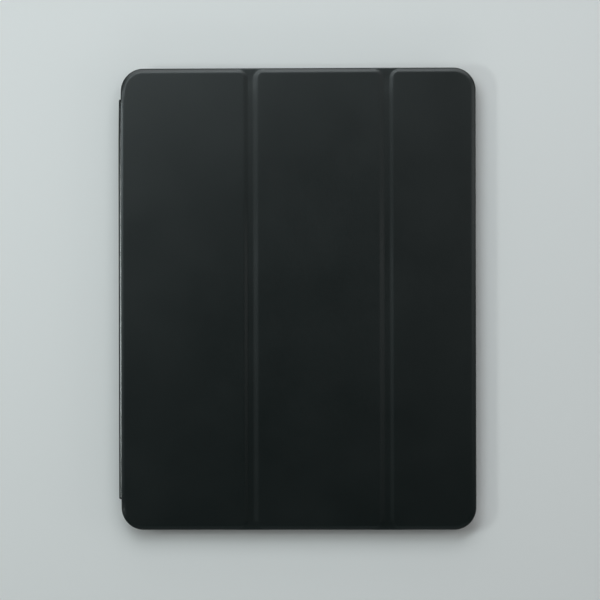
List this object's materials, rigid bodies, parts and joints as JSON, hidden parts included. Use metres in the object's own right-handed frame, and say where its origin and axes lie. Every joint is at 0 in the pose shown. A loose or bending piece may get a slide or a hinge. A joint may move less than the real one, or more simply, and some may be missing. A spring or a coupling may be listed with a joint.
{
  "type": "tablet case",
  "caption": "Slim leather-covered tablet case: moulded tray, soft spine and a folding front cover in panels that rolls into a stand behind the tray.",
  "frame": {"origin": "under the middle of the closed case, on the surface that its back lies on", "axes": "+X from the spine to the opening edge, +Y to the tablet's top edge, +Z out of the front cover"},
  "size_m": [0.2198, 0.284, 0.012],
  "materials": {
    "leather": "smooth charcoal synthetic leather, fine grain, soft sheen",
    "lining": "dark grey brushed microfibre",
    "board": "stiff moulded sheet",
    "tray": "matt black moulded elastomer",
    "magnet": "nickel-plated",
    "steel": "plain cold-rolled"
  },
  "bodies": {
    "shell": {"back_shell": "tray", "shell_lining": "lining", "back_skin": "leather"},
    "spine": {"rear_crease_skin": "leather", "rear_crease_lining": "lining", "spine_skin": "leather", "spine_board": "board", "spine_lining": "lining", "front_crease_skin": "leather", "front_crease_lining": "lining"},
    "inner_panel": {"inner_panel_skin": "leather", "inner_panel_board": "board", "inner_panel_lining": "lining", "stand_strip": "steel", "inner_crease_skin": "leather", "inner_crease_lining": "lining"},
    "middle_panel": {"middle_panel_skin": "leather", "middle_panel_board": "board", "middle_panel_lining": "lining", "outer_crease_skin": "leather", "outer_crease_lining": "lining"},
    "outer_panel": {"outer_panel_skin": "leather", "outer_panel_board": "board", "outer_panel_lining": "lining", "closing_magnets": "magnet", "wake_magnet": "magnet"}
  },
  "joints": [
    {"name": "spine_swing", "type": "hinge", "parent": "shell", "child": "spine", "pos_m": [-0.10924, 0, 0.00068], "axis": [0, -1, 0], "range_deg": [0, 178], "deforming": ["rear_crease_skin", "rear_crease_lining"]},
    {"name": "cover_open", "type": "hinge", "parent": "spine", "child": "inner_panel", "pos_m": [-0.10924, 0, 0.01132], "axis": [0, -1, 0], "range_deg": [0, 178], "deforming": ["front_crease_skin", "front_crease_lining"]},
    {"name": "middle_fold", "type": "hinge", "parent": "inner_panel", "child": "middle_panel", "pos_m": [-0.02857, 0, 0.01025], "axis": [0, -1, 0], "range_deg": [-138, 0], "deforming": ["inner_crease_skin", "inner_crease_lining"]},
    {"name": "outer_fold", "type": "hinge", "parent": "middle_panel", "child": "outer_panel", "pos_m": [0.05543, 0, 0.01025], "axis": [0, -1, 0], "range_deg": [-118, 0], "deforming": ["outer_crease_skin", "outer_crease_lining"]}
  ],
  "couplings": [
    {"joint": "middle_fold", "follows": "cover_open", "ratio": -0.775},
    {"joint": "outer_fold", "follows": "cover_open", "ratio": -0.662}
  ]
}
